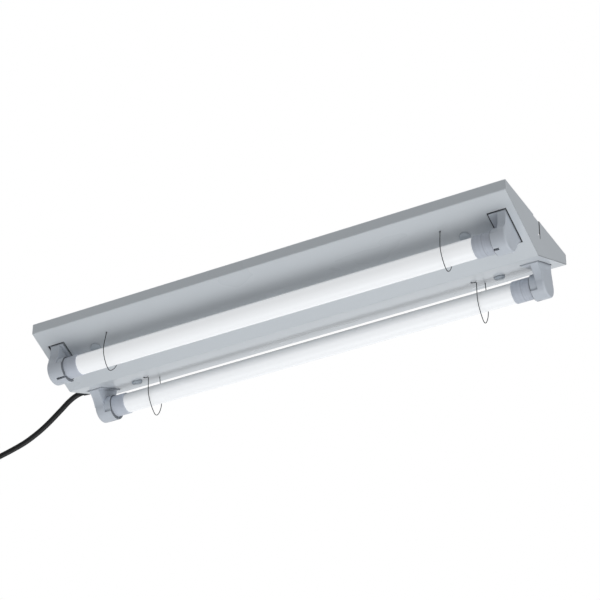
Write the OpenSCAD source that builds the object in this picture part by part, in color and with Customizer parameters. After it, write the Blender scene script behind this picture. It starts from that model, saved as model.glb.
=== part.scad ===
// Two-lamp shop light: folded steel reflector on an inner frame, tube lamps in twist-lock holders,
// guard wires, quarter-turn knobs and a mains lead with its plug.
// The origin is the middle of the top face, which lies against the ceiling; X runs along the lamps.

/* [Reflector] */
// Room between a lamp's cap face and the end of the reflector
end_room = 30; // [26:1:60]
// Width across the side flanges
body_w = 174; // [168:1:184]
// Depth from the top face to the sharp ridge of the V
body_depth = 53; // [50:1:58]
// Height of the upright side flanges
flange_h = 14.5; // [12:0.5:17]
// Sheet thickness of the reflector and end plates
sheet_t = 0.8; // [0.6:0.1:1]
// Outer radius of the ridge
ridge_r = 4; // [2.5:0.5:6]
// Outer radius of the other folds
fold_r = 2; // [1.4:0.1:2.6]
// Width of the lips folded in at the top
lip_w = 9; // [6:1:12]

/* [End plates] */
// Width of the lips that lie on the slopes
plate_lip = 7; // [5:0.5:7]
// Width of the cable knock-out
knockout_w = 15.5; // [12:0.5:20]
// Depth of the knock-out below the top edge
knockout_depth = 23; // [18:1:26]
// Width of the slit beside the knock-out
slit_w = 1.6; // [1.2:0.1:2]
// How far the knock-out's top edge lies below the plate's
knockout_drop = 2; // [1:0.5:3]

/* [Lamps] */
// Length of a lamp between its cap faces
lamp_len = 580; // [480:1:700]
// Diameter of the lamp tube
tube_d = 24.8; // [24:0.1:26]
// Wall of the lamp tube
tube_wall = 0.9; // [0.7:0.1:1.2]
// Wall of the caps at the lamp's ends, around the tube
cap_wall = 0.9; // [0.8:0.1:1.4]
// Length of a lamp cap
cap_len = 23.5; // [18:0.5:26]
// Thickness of a cap's end face
cap_face = 2; // [1.5:0.1:2.5]
// Diameter of a lamp pin
pin_d = 2.35; // [2:0.05:2.5]
// Distance between a cap's two pins
pin_pitch = 12.7; // [12:0.1:13]
// Length of a pin outside the cap
pin_len = 7.2; // [6.6:0.1:7.6]
// Height of the lamp axis off the slope
lamp_standoff = 24.5; // [23:0.5:27]

/* [Lampholders] */
// Radius of the holder's drum
drum_r = 17; // [16.5:0.25:18]
// Length of the drum along the lamp
drum_len = 18.7; // [18.2:0.1:20]
// Half width of the neck at the slope
neck_half = 22.8; // [21.3:0.5:23.8]
// How far the left holders' collars reach over the lamp caps
collar_reach = 5.5; // [3:0.5:7]
// Gap around the neck in the reflector's cut-out
cut_gap = 1.6; // [1.2:0.1:1.8]
// Diameter of the rotor
rotor_d = 19.6; // [18.6:0.2:20]
// Thickness of the rotor
rotor_t = 3.5; // [3:0.1:4]

/* [Guard wires] */
// Wire diameter
wire_d = 1; // [0.8:0.1:1.2]
// Distance from a lamp's cap face to a wire
wire_inset = 63.5; // [58:0.5:75]
// Depth of a wire's two low bends off the slope
wire_drop = 47.2; // [46.2:0.2:52]
// How far the front wires have swung, in degrees
front_swing = 7.5; // [0:0.5:10]
// How far the rear wires have swung, in degrees
rear_swing = 3.2; // [0:0.1:10]
// Sideways step from the inner hole to the loop
wire_jog = 6.5; // [5:0.5:8]
// Diameter of a wire hole
wire_hole_d = 2.6; // [2.4:0.1:3]

/* [Knobs] */
// Diameter of a knob's dome
knob_d = 13.5; // [12:0.5:15]
// Height of the dome
knob_h = 4.2; // [3.5:0.1:5]
// Distance from a lamp's cap face to a knob
knob_inset = 39; // [37:0.5:42]
// Diameter of a knob's stud
stud_d = 5; // [4:0.2:5.4]

/* [Frame] */
// How far the chassis channel ends before the lamps' cap faces
chassis_inset = 5; // [4:0.5:9]
// Width of the chassis channel
chassis_w = 96; // [92:1:98]
// Height of the channel's walls
chassis_h = 22; // [18:1:22]
// Sheet thickness of the chassis and saddles
frame_t = 1; // [0.8:0.1:1.2]
// Distance from a lamp's cap face to a hanging slot
slot_inset = 140; // [139:1:145]
// Width of a hanging slot
slot_w = 9; // [7:0.5:10]
// Length of a hanging slot
slot_len = 18; // [14:1:18]

/* [Wiring] */
// Diameter of the mains cord
cord_d = 7; // [6.4:0.1:7]
// Length of the cord bush's tapered tail
bush_tail = 20; // [20:1:20]
// Diameter of a lead inside the light
lead_d = 2.2; // [1.8:0.1:2.6]
// Width of the plug across its blades
plug_w = 25; // [24:0.5:28]
// Thickness of the plug
plug_t = 15; // [13:0.5:18]
// Length of the plug's body
plug_len = 34; // [30:1:38]

/* [Hidden] */

// Facets on round parts, small round parts and arcs of an outline
round_fn = 64;
small_fn = 24;
arc_steps = 6;
// One overrun for every cut
over = 1;
// Small clearances: a part that slides or turns, and a part that is set in place
turn_gap = 0.2;
set_gap = 0.3;

// Lengths that follow the lamps
body_len = lamp_len + 2 * end_room;
chassis_len = lamp_len - 2 * chassis_inset;
slot_pitch = lamp_len - 2 * slot_inset;
wire_x = lamp_len / 2 - wire_inset;
knob_x = lamp_len / 2 - knob_inset;

// The slope of the reflector, from the ridge up to the flange
slope_a = atan((body_depth - flange_h) / (body_w / 2));
slope_len = (body_w / 2) / cos(slope_a);
// Each lamp lies over the middle of its slope
lamp_s = slope_len / 2;
wire_r = wire_d / 2;
tube_r = tube_d / 2;
cap_bore_gap = 0.15;
cap_r = tube_r + cap_bore_gap + cap_wall;

// Lampholder
holder_x = lamp_len / 2 + set_gap;
drum_round = 2.2;
left_drum_cut = 2.5;
drum_chamfer = 0.4;
ledge_step = 2.1;
left_ledge_cut = 0.9;
ledge_low = 1.2;
collar_bore = cap_r + set_gap;
collar_wall = 1.3;
collar_r = collar_bore + collar_wall;
collar_len = 9;
collar_edge = 0.5;
shell_low = 6;
neck_low = 2;
neck_waist = drum_r - 0.4;
neck_steps = 8;
neck_clear = 1.4;
base_t = 2.5;
base_side = 5;
base_end = 2;
base_z = lamp_standoff + sheet_t + frame_t;
rotor_recess = rotor_t + 2 * turn_gap;
chamber_len = 11;
chamber_half = 9.8;
chamber_low = 10;
chamber_front = 9.6;
chamber_wall = 1.2;
entry_w = pin_d + 2 * set_gap;
entry_len = 7;
rotor_slot_w = pin_d + 2 * set_gap;
rotor_ring = 0.5;
contact_t = 0.4;
contact_w = 4;
contact_low = 4;
contact_high = 3;
contact_foot = 1;
contact_mid = 8;
contact_step = 3;
holder_screw_d = 2.9;
holder_screw_head_d = 5;
holder_screw_head_h = 1.5;
holder_screw_s = neck_half + base_side / 2 + 0.2;

// Lamp inside
cap_grip = cap_len - cap_face - set_gap;
cap_edge = 0.7;
groove_w = 0.8;
groove_depth = 0.35;
groove_at = 8;
board_w = 12;
board_t = 1.2;
board_margin = 34;
chip_count = 18;
chip_l = 5;
chip_w = 3;
chip_t = 0.8;
board_seat = sqrt(pow(tube_r - tube_wall, 2) - pow(board_w / 2, 2)) - board_t - turn_gap;
driver_l = 46;
driver_w = 14;
driver_t = 1.6;
driver_part_h = 6;
driver_part_l = 12;
driver_part_w = 8;

// Guard wire, in the slope's frame: s runs from the ridge to the flange, n points off the slope
wire_in_reach = 9.57;
wire_out_reach = 19.4;
wire_s_in = lamp_s - wire_in_reach;
wire_s_out = lamp_s + wire_out_reach;
wire_in_gap = 2.1;
wire_in_rise = 0.7;
wire_low_in = 7.2;
wire_low_out = 3.7;
wire_out_gap = 2.4;
wire_out_rise = 7.6;
wire_tail = 4;
wire_back = 0.6;
wire_bend = 1;
wire_lift = wire_r + 0.5;
wire_sides = 8;
wire_steps = 6;

// Knob
knob_s = lamp_s + 3.4;
knob_flat_r = 3.4;
knob_skirt = 1.2;
wing_len = 10;
wing_w = 1.6;
wing_t = 1.6;
stud_tip = 1.2;
stud_hole_gap = 0.4;

// Frame
saddle_knob_room = 15;
saddle_lip_room = 0.8;
saddle_in = knob_x - saddle_knob_room;
saddle_out = body_len / 2 - sheet_t - plate_lip - saddle_lip_room;
saddle_s_in = 9;
saddle_s_out = slope_len - 9;
tab_knob_room = 11;
tab_len = 14;
tab_in = knob_x + tab_knob_room;
tab_out = tab_in + tab_len;
tab_top = 10;
rivet_d = 3.2;
rivet_head_d = 6;
rivet_head_h = 1.2;

// Wiring
block_room = 28;
block_y = chassis_w / 2 - block_room;
block_l = 40;
block_slot_room = 1;
block_x = -slot_pitch / 2 - slot_len / 2 - block_slot_room - block_l / 2;
block_w = 24;
block_h = 12;
block_pole_count = 3;
pole_d = 5;
pole_depth = 4;
screw_slot_w = 0.8;
earth_slot_room = 30;
earth_x = -slot_pitch / 2 + earth_slot_room;
earth_room = 26;
earth_y = chassis_w / 2 - earth_room;
lead_wall_room = 11;
lead_lane = chassis_w / 2 - lead_wall_room;
lead_high = 3.5;
lead_low = 7.5;
lead_bend = 6;
lead_back_room = 2.4;
lead_foot = 1.6;
bush_inset = 27;
bush_y = body_w / 2 - bush_inset;
bush_z = 16.5;
bush_flange_d = 13;
bush_flange_t = 2;
bush_neck_d = 10;
bush_catch_d = 11.4;
bush_catch_l = 3;
bush_tip_wall = 0.8;
bush_bore_gap = 0.2;
lead_end_room = 10;
lead_clamp_room = 30;
clamp_block_room = 32;
clamp_x = block_x - block_l / 2 - clamp_block_room;
lead_in_x = body_len / 2 - lead_end_room;
lead_turn_x = -clamp_x + lead_clamp_room;
lead_turn_room = 26;
lead_turn_y = chassis_w / 2 - lead_turn_room;
lead_turn_z = 8;
lead_turn_r = 28;
clamp_w = 10;
clamp_t = 1.4;
clamp_foot = 9;
clamp_screw_d = 3.5;
clamp_screw_head_d = 6;
clamp_screw_head_h = 2;

// Mains cord, from the tip of the bush: out of the left end, down past the ridge and away to the left
cord_exit = [-body_len / 2 - bush_flange_t - bush_tail, bush_y, -bush_z];
cord_laid = [
    [0, 0, 0], [-8, 0, -1], [-16, 0, -4], [-24, 0, -9],
    [-35, 0, -18], [-53, 0, -32], [-68, 0, -41.5], [-87, 0, -50.5],
    [-107, 0, -56.5], [-126, 0, -61], [-140, 0, -64.5], [-155, 0, -71.5],
    [-166, 0, -82.5], [-172, 0, -96.5], [-174, 0, -113.5], [-174, 0, -131.5]
];
cord_route = [for (p = cord_laid) cord_exit + p];
cord_sides = 10;
cord_steps = 3;
// The rest of the cord hangs as a tied coil of two layers, wound in and out again
coil_start = cord_exit + [-174, 0, -138.5];
coil_turns = 5;
coil_r = 48;
coil_pitch = 7.6;
coil_layer = 7.6;
coil_climb_turns = 0.5;
coil_rings = 24;
coil_sides = 6;
coil_end = 7;
coil_tail = 28;
tie_w = 12;
tie_t = 1.6;
tie_gap = 0.9;
tie_buckle = 3;
plug_collar_l = 14;
plug_collar_d = 10.5;
plug_tip_d = 8.6;
plug_round = 4;
plug_shoulder = 9;
plug_bore_gap = 0.3;
plug_back_w = 15;
blade_len = 17.5;
blade_w = 6.3;
blade_t = 1.5;
blade_pitch = 12.7;
blade_round = 1.5;

// General geometry
function unit(v) = v / norm(v);
function total(v, i = 0) = i < len(v) ? v[i] + total(v, i + 1) : 0;

// The rounded corner of a path at p, between the points a and b
function corner(a, p, b, r, n) =
    let (u = unit(a - p), v = unit(b - p), half = acos(-(u * v)) / 2, d = r * tan(half))
    [for (i = [0:n]) let (t = i / n) p + d * (pow(1 - t, 2) * u + pow(t, 2) * v)];

// A path through corner points, each rounded by its own radius
function rounded(pts, radii, n) = concat(
    [pts[0]],
    [for (i = [1:len(pts) - 2]) each corner(pts[i - 1], pts[i], pts[i + 1], radii[i], n)],
    [pts[len(pts) - 1]]
);

// A smooth curve through four neighbouring points, from the second to the third
function spline(a, b, c, d, t) =
    (2 * b + (c - a) * t + (2 * a - 5 * b + 4 * c - d) * pow(t, 2)
    + (3 * b - a - 3 * c + d) * pow(t, 3)) / 2;
function before_first(p) = 2 * p[0] - p[1];
function after_last(p) = 2 * p[len(p) - 1] - p[len(p) - 2];
function point_at(p, i) = i < 0 ? before_first(p) : i >= len(p) ? after_last(p) : p[i];
function smooth(p, n) = concat(
    [for (i = [0:len(p) - 2]) for (k = [0:n - 1])
        spline(point_at(p, i - 1), p[i], p[i + 1], point_at(p, i + 2), k / n)],
    [p[len(p) - 1]]
);

// Rings of a tube, carried along its path without twist
function heading(p, i) = unit(p[min(i + 1, len(p) - 1)] - p[max(i - 1, 0)]);
function flat_to(v, t) = unit(v - (v * t) * t);
function carried(p, v, i = 0) =
    i == len(p) ? [] : let (w = flat_to(v, heading(p, i))) concat([w], carried(p, w, i + 1));
function ring(c, w, t, r, sides) =
    [for (k = [0:sides - 1]) let (a = 360 * k / sides) c + r * (cos(a) * w + sin(a) * cross(t, w))];

module tube_along(path, r, sides, up) {
    ups = carried(path, up);
    last = (len(path) - 1) * sides;
    points = [for (i = [0:len(path) - 1]) each ring(path[i], ups[i], heading(path, i), r, sides)];
    faces = concat(
        [for (k = [1:sides - 2]) [0, k, k + 1]],
        [for (k = [1:sides - 2]) [last, last + k + 1, last + k]],
        [for (i = [0:len(path) - 2]) for (k = [0:sides - 1])
            [i * sides + k, (i + 1) * sides + k, (i + 1) * sides + (k + 1) % sides]],
        [for (i = [0:len(path) - 2]) for (k = [0:sides - 1])
            [i * sides + k, (i + 1) * sides + (k + 1) % sides, i * sides + (k + 1) % sides]]
    );
    polyhedron(points, faces);
}

// Frames: row 1 is the front slope and row 2 the rear one; side is -1 at the left end, 1 at the right
module slope_frame(row) {
    rotate([0, 0, row == 1 ? 180 : 0])
        translate([0, 0, -body_depth])
            rotate([slope_a, 0, 0])
                children();
}

module lamp_frame(row) {
    slope_frame(row) translate([0, lamp_s, -lamp_standoff]) children();
}

function local_side(row, side) = row == 1 ? -side : side;

module at_end(row, side) {
    mirror([local_side(row, side) < 0 ? 1 : 0, 0, 0]) children();
}

module holder_frame(row, side) {
    lamp_frame(row) at_end(row, side) translate([holder_x, 0, 0]) children();
}

// A cylinder along X, from x to x + l
module bar(x, l, d, fn = round_fn) {
    translate([x, 0, 0]) rotate([0, 90, 0]) cylinder(h = l, d = d, $fn = fn);
}

// A turned part along X, drawn as a profile of [radius, x] points
module turned(profile, fn = round_fn) {
    rotate([0, 90, 0]) rotate_extrude($fn = fn) polygon(profile);
}

module block(low, high) {
    translate(low) cube(high - low);
}

// The reflector's section, as [y, z] points: outer is 0 for the outer face and t for the inner one
function section_corners(t, cut) = [
    [body_w / 2 - lip_w, -t],
    [body_w / 2 - t, -t],
    [body_w / 2 - t, -body_depth + (body_w / 2 - t) * tan(slope_a) + t / cos(slope_a)],
    [0, -body_depth + t / cos(slope_a)],
    [-body_w / 2 + t, -body_depth + (body_w / 2 - t) * tan(slope_a) + t / cos(slope_a)],
    [-body_w / 2 + t, -t],
    [-body_w / 2 + lip_w, -t]
];
function section(t) = rounded(
    section_corners(t),
    [0, fold_r - t, fold_r - t, ridge_r - t, fold_r - t, fold_r - t, 0],
    arc_steps
);
function reversed(v) = [for (i = [len(v) - 1:-1:0]) v[i]];

// Stands an outline of [y, z] points up across the light, from x to x + l
module across(x, l) {
    translate([x, 0, 0]) rotate([90, 0, 90]) linear_extrude(height = l) children();
}

module knob_hole() {
    for (end = [-1, 1]) {
        translate([end * knob_x, knob_s, -over])
            cylinder(h = sheet_t + 2 * over, d = stud_d + 4 * stud_hole_gap, $fn = small_fn);
    }
}

module wire_holes() {
    for (end = [-1, 1]) {
        translate([end * wire_x - wire_jog, wire_s_in, -over])
            cylinder(h = sheet_t + 2 * over, d = wire_hole_d, $fn = small_fn);
        translate([end * wire_x, wire_s_out, -over])
            cylinder(h = sheet_t + 2 * over, d = wire_hole_d, $fn = small_fn);
    }
}

module holder_cuts(gap, z, h) {
    for (end = [0, 1]) {
        mirror([end, 0, 0])
            block(
                [holder_x - ledge_step - gap, lamp_s - neck_half - gap, z],
                [holder_x + drum_len + gap, lamp_s + neck_half + gap, z + h]
            );
    }
}

module reflector() {
    color("whitesmoke")
        difference() {
            across(-body_len / 2, body_len) polygon(concat(section(0), reversed(section(sheet_t))));
            for (row = [1, 2]) {
                slope_frame(row) {
                    holder_cuts(cut_gap, -over, sheet_t + 2 * over);
                    knob_hole();
                    wire_holes();
                }
            }
        }
}

// The end plate's outline fills the section, a small gap inside the reflector and its lips
module plate_outline() {
    top = body_w / 2 - lip_w - turn_gap;
    polygon(concat([[top, 0]], section(sheet_t + turn_gap), [[-top, 0]]));
}

// One side and the foot of the knock-out are cut free, and its other side stays as the hinge
module knockout_slit() {
    r = knockout_w / 2;
    center_z = -knockout_depth + r;
    difference() {
        translate([0, center_z]) circle(r = r + slit_w / 2, $fn = round_fn);
        translate([0, center_z]) circle(r = r - slit_w / 2, $fn = round_fn);
        translate([-knockout_w, center_z]) square([2 * knockout_w, knockout_w]);
        translate([-knockout_w, center_z - knockout_w]) square([knockout_w + r / 2, knockout_w + over]);
    }
    translate([r - slit_w / 2, center_z]) square([slit_w, -center_z + over]);
    translate([-r, -knockout_drop]) square([knockout_w, knockout_drop + over]);
}

module end_plate(side) {
    lip_x = body_len / 2 - sheet_t - plate_lip;
    color("gainsboro")
        difference() {
            union() {
                across(side > 0 ? body_len / 2 - sheet_t : -body_len / 2, sheet_t)
                    difference() {
                        plate_outline();
                        knockout_slit();
                    }
                for (row = [1, 2]) {
                    slope_frame(row) at_end(row, side)
                        block(
                            [lip_x, saddle_s_in, sheet_t],
                            [body_len / 2 - sheet_t / 2, saddle_s_out, 2 * sheet_t]
                        );
                }
            }
            if (side < 0) {
                translate([0, bush_y, -bush_z])
                    bar(-body_len / 2 - over, sheet_t + 2 * over, bush_neck_d + 2 * turn_gap, small_fn);
            }
        }
}

// Inner frame
module hanging_slot(x) {
    reach = (slot_len - slot_w) / 2;
    translate([x, 0, -frame_t - over]) {
        for (end = [-1, 1]) {
            translate([end * reach, 0, 0])
                cylinder(h = frame_t + 2 * over, d = slot_w, $fn = small_fn);
        }
        translate([-reach, -slot_w / 2, 0]) cube([2 * reach, slot_w, frame_t + 2 * over]);
    }
}

module rivet_places() {
    for (end = [-1, 1], row = [-1, 1]) {
        translate([end * (tab_in + tab_out) / 2, row * chassis_w / 2, -(tab_top + chassis_h) / 2])
            rotate([-90 * row, 0, 0])
                children();
    }
}

module screw_hole(x, y, d) {
    translate([x, y, -frame_t - over]) cylinder(h = frame_t + 2 * over, d = d, $fn = small_fn);
}

module chassis() {
    half = chassis_w / 2;
    color("lightgray")
        difference() {
            across(-chassis_len / 2, chassis_len)
                polygon([
                    [half, -chassis_h], [half, 0], [-half, 0], [-half, -chassis_h],
                    [-half + frame_t, -chassis_h], [-half + frame_t, -frame_t],
                    [half - frame_t, -frame_t], [half - frame_t, -chassis_h]
                ]);
            for (end = [-1, 1]) {
                hanging_slot(end * slot_pitch / 2);
            }
            rivet_places()
                translate([0, 0, -frame_t - over])
                    cylinder(h = frame_t + 2 * over, d = rivet_d, $fn = small_fn);
            screw_hole(earth_x, earth_y, clamp_screw_d);
            screw_hole(clamp_x, lead_turn_y + clamp_foot, clamp_screw_d);
            for (end = [-1, 1]) {
                screw_hole(block_x + end * block_l / 4, block_y, clamp_screw_d);
            }
        }
}

module saddle(side) {
    tab_y = chassis_w / 2;
    color("lightgray")
        difference() {
            union() {
                for (row = [1, 2]) {
                    slope_frame(row) at_end(row, side)
                        block(
                            [saddle_in, saddle_s_in, sheet_t],
                            [saddle_out, saddle_s_out, sheet_t + frame_t]
                        );
                }
                // The fold over the ridge joins the two sloping plates
                across(side > 0 ? saddle_in : -saddle_out, saddle_out - saddle_in) saddle_fold();
                for (row = [-1, 1]) {
                    // Each tab stands up from its plate, against the chassis wall
                    low = -body_depth + tab_y * tan(slope_a) + (sheet_t + frame_t / 2) / cos(slope_a);
                    block(
                        [side > 0 ? tab_in : -tab_out, row > 0 ? tab_y : -tab_y - frame_t, low],
                        [side > 0 ? tab_out : -tab_in, row > 0 ? tab_y + frame_t : -tab_y, -tab_top]
                    );
                }
            }
            for (row = [1, 2]) {
                slope_frame(row) {
                    holder_cuts(set_gap, sheet_t - over, frame_t + 2 * over);
                    saddle_holes(row, side);
                }
            }
            rivet_places()
                translate([0, 0, -over])
                    cylinder(h = frame_t + 2 * over, d = rivet_d, $fn = small_fn);
        }
}

// The folded strip between the plates: both inner slopes up to where the plates begin
module saddle_fold() {
    reach = (saddle_s_in + over) * cos(slope_a);
    rise = (saddle_s_in + over) * sin(slope_a);
    low = -body_depth + sheet_t / cos(slope_a);
    high = low + frame_t / cos(slope_a);
    lift = ridge_r / 2;
    step = lift / tan(slope_a);
    polygon([
        [reach, low + rise], [step, low + lift], [-step, low + lift], [-reach, low + rise],
        [-reach, high + rise], [-step, high + lift], [step, high + lift], [reach, high + rise]
    ]);
}

module saddle_holes(row, side) {
    place = local_side(row, side);
    slot = wing_len + 2 * stud_hole_gap;
    translate([place * knob_x, knob_s, sheet_t - over]) {
        cylinder(h = frame_t + 2 * over, d = stud_d + 2 * stud_hole_gap, $fn = small_fn);
        translate([-slot / 2, -wing_w / 2 - stud_hole_gap, 0])
            cube([slot, wing_w + 2 * stud_hole_gap, frame_t + 2 * over]);
    }
    holder_screw_places(row, side)
        translate([0, 0, -over - sheet_t])
            cylinder(h = frame_t + sheet_t + over, d = holder_screw_d, $fn = small_fn);
}

// Places of the two screws of one holder, in the slope's frame, at the saddle's inner face
module holder_screw_places(row, side) {
    for (end = [-1, 1]) {
        at_end(row, side)
            translate([holder_x + drum_len / 2, lamp_s + end * holder_screw_s, sheet_t + frame_t])
                children();
    }
}

module saddle_rivets() {
    grip = 2 * frame_t;
    color("silver")
        rivet_places() {
            translate([0, 0, -frame_t]) cylinder(h = grip, d = rivet_d, $fn = small_fn);
            translate([0, 0, frame_t]) cylinder(h = rivet_head_h, d = rivet_head_d, $fn = small_fn);
            translate([0, 0, -frame_t - rivet_head_h])
                cylinder(h = rivet_head_h, d = rivet_head_d, $fn = small_fn);
        }
}

// Lampholder, in its own frame: the lamp axis is X, x starts at the inner face, z points to the slope
function neck_flank(k) =
    let (share = k / neck_steps, z = neck_low + share * (lamp_standoff - neck_clear - neck_low))
    [neck_waist + (neck_half - neck_waist) * pow(share, 2), z];

module neck_outline() {
    flank = [for (k = [0:neck_steps]) neck_flank(k)];
    polygon(concat(
        flank,
        [[neck_half, base_z], [-neck_half, base_z]],
        [for (p = reversed(flank)) [-p[0], p[1]]]
    ));
}

// How far a holder's collar starts before the lamp's cap face: the left ones reach over the caps
function collar_from(side) = side < 0 ? -collar_reach : 0;

// The left holders' drums are a little shorter, and their ledges leave a wider gap
function drum_end(side) = side < 0 ? drum_len - left_drum_cut : drum_len;
function ledge_from(side) = side < 0 ? left_ledge_cut - ledge_step : -ledge_step;

// The drum proper starts behind the collar
module drum(side) {
    end = drum_end(side);
    start = collar_from(side) + collar_len;
    turned(concat(
        [[0, start], [drum_r - drum_chamfer, start], [drum_r, start + drum_chamfer]],
        [for (k = [0:arc_steps]) let (a = 90 * k / arc_steps)
            [drum_r - drum_round + drum_round * cos(a), end - drum_round + drum_round * sin(a)]],
        [[0, end]]
    ));
}

module edged_bar(start, r) {
    end = start + collar_len + over;
    turned([[0, start], [r - collar_edge, start], [r, start + collar_edge], [r, end], [0, end]]);
}

// Where the chamber's open shaft to the back starts: behind the neck's front wall
function shaft_from(side) = max(rotor_recess, collar_from(side) + collar_len + chamber_wall);

module collar(side) {
    start = collar_from(side);
    difference() {
        union() {
            edged_bar(start, collar_r);
            // The shell carries the drum's outline on below the collar
            difference() {
                edged_bar(start, drum_r);
                block([start - over, -drum_r, -shell_low], [start + collar_len + 2 * over, drum_r, drum_r]);
            }
        }
        if (start < 0) {
            bar(start - over, over - start, 2 * collar_bore);
        }
    }
}

module holder(row, side) {
    base_half = neck_half + base_side;
    neck_from = collar_from(side) + collar_len;
    slot_from = collar_from(side) - over;
    color("gainsboro")
        holder_frame(row, side)
            difference() {
                union() {
                    drum(side);
                    collar(side);
                    across(neck_from, drum_end(side) - neck_from) neck_outline();
                    // The ledge closes the cut-out in front of the neck
                    block(
                        [ledge_from(side), -neck_half, lamp_standoff - ledge_low],
                        [drum_len / 2, neck_half, base_z]
                    );
                    block(
                        [-ledge_step - base_end, -base_half, base_z],
                        [drum_len + base_end, base_half, base_z + base_t]
                    );
                }
                bar(-over, rotor_recess + over, rotor_d + 2 * turn_gap);
                block(
                    [rotor_recess, -chamber_half, -chamber_low],
                    [rotor_recess + chamber_len, chamber_half, chamber_front]
                );
                block(
                    [shaft_from(side), -chamber_half, 0],
                    [rotor_recess + chamber_len, chamber_half, base_z + base_t + over]
                );
                // The slot that the pins pass through
                block([slot_from, -entry_w / 2, -drum_r - over], [entry_len, entry_w / 2, 0]);
                for (end = [-1, 1]) {
                    translate([drum_len / 2, end * holder_screw_s, base_z - over])
                        cylinder(h = base_t + 2 * over, d = holder_screw_d, $fn = small_fn);
                }
            }
}

module rotor(row, side) {
    r = rotor_d / 2;
    color("white")
        holder_frame(row, side)
            difference() {
                turned([
                    [0, turn_gap + rotor_ring], [r - 2 * rotor_ring, turn_gap + rotor_ring],
                    [r - 2 * rotor_ring, turn_gap], [r, turn_gap], [r, rotor_t + turn_gap],
                    [0, rotor_t + turn_gap]
                ]);
                block(
                    [0, -rotor_d, -rotor_slot_w / 2],
                    [rotor_t + over, rotor_d, rotor_slot_w / 2]
                );
            }
}

// Two strips, one beside each pin, which step back into the shaft and end at the open back
module contacts(row, side) {
    x = rotor_recess + set_gap;
    up_x = shaft_from(side) + set_gap;
    y = pin_pitch / 2 + pin_d / 2 + set_gap;
    top = base_z + base_t + contact_high;
    color("goldenrod")
        holder_frame(row, side)
            for (end = [0, 1]) {
                mirror([0, end, 0]) {
                    block([x, y, -contact_low], [x + contact_w, y + contact_t, contact_mid]);
                    block(
                        [x, y, contact_mid - contact_step],
                        [up_x + contact_w, y + contact_t, contact_mid]
                    );
                    block([up_x, y, contact_mid - contact_step], [up_x + contact_w, y + contact_t, top]);
                    block(
                        [up_x, y, top - contact_t],
                        [up_x + contact_w, y + contact_t + contact_foot, top]
                    );
                    // The rib that the strip is fixed to
                    block(
                        [x + contact_w, y, 0],
                        [rotor_recess + chamber_len, y + contact_t, contact_w]
                    );
                }
            }
}

module holder_screws() {
    color("silver")
        for (row = [1, 2], side = [-1, 1]) {
            slope_frame(row)
                holder_screw_places(row, side) {
                    translate([0, 0, -frame_t])
                        cylinder(h = frame_t + base_t, d = holder_screw_d, $fn = small_fn);
                    translate([0, 0, base_t])
                        cylinder(h = holder_screw_head_h, d = holder_screw_head_d, $fn = small_fn);
                }
        }
}

// Lamp
module lamp_tube(row) {
    half = lamp_len / 2 - cap_face - set_gap;
    color("white")
        lamp_frame(row)
            difference() {
                bar(-half, 2 * half, tube_d);
                bar(-half - over, 2 * half + 2 * over, tube_d - 2 * tube_wall);
            }
}

module lamp_cap(row, side) {
    bore = tube_r + cap_bore_gap;
    groove = cap_len - groove_at;
    color("silver")
        lamp_frame(row) at_end(row, side)
            translate([lamp_len / 2 - cap_len, 0, 0])
                difference() {
                    turned([
                        [bore, 0], [cap_r - cap_edge / 2, 0], [cap_r, cap_edge],
                        [cap_r, groove - groove_w], [cap_r - groove_depth, groove - groove_w / 2],
                        [cap_r, groove], [cap_r, cap_len - cap_edge], [cap_r - cap_edge, cap_len],
                        [0, cap_len], [0, cap_len - cap_face], [bore, cap_len - cap_face]
                    ]);
                    for (end = [-1, 1]) {
                        translate([0, end * pin_pitch / 2, 0])
                            bar(cap_len - cap_face - over, cap_face + 2 * over, pin_d, small_fn);
                    }
                }
}

module lamp_pins(row) {
    color("gold")
        lamp_frame(row)
            for (end = [-1, 1], side = [0, 1]) {
                mirror([side, 0, 0])
                    translate([0, end * pin_pitch / 2, 0])
                        turned_pin();
            }
}

module turned_pin() {
    r = pin_d / 2;
    tip = lamp_len / 2 + pin_len;
    turned([
        [0, lamp_len / 2 - cap_face], [r, lamp_len / 2 - cap_face], [r, tip - r / 2],
        [r / 2, tip], [0, tip]
    ], small_fn);
}

module led_board(row) {
    half = lamp_len / 2 - board_margin;
    color("white")
        lamp_frame(row)
            block([-half, -board_w / 2, board_seat], [half, board_w / 2, board_seat + board_t]);
}

module led_chips(row) {
    half = lamp_len / 2 - board_margin;
    step = 2 * half / chip_count;
    color("khaki")
        lamp_frame(row)
            for (i = [0:chip_count - 1]) {
                translate([-half + (i + 0.5) * step, 0, board_seat - chip_t])
                    block([-chip_l / 2, -chip_w / 2, 0], [chip_l / 2, chip_w / 2, chip_t]);
            }
}

// The supply is a small board that stands against the cap at the lamp's left end
module driver(row) {
    end = lamp_len / 2 - cap_face;
    start = end - driver_l;
    seat = -driver_t / 2;
    strip_end = lamp_len / 2 - board_margin;
    post_x = strip_end * (1 - 0.5 / chip_count);
    color("seagreen")
        lamp_frame(row) at_end(row, -1) {
            block([start, -driver_w / 2, seat], [end, driver_w / 2, seat + driver_t]);
            for (i = [0, 1]) {
                part_x = start + driver_l / 2 - driver_part_l + i * (driver_part_l + driver_t);
                block(
                    [part_x, -driver_part_w / 2, seat - driver_part_h],
                    [part_x + driver_part_l, driver_part_w / 2, seat]
                );
            }
            // The post that ties the board to the strip above it
            block([post_x, -driver_t, seat + driver_t], [post_x + driver_t, driver_t, board_seat]);
        }
}

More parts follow.
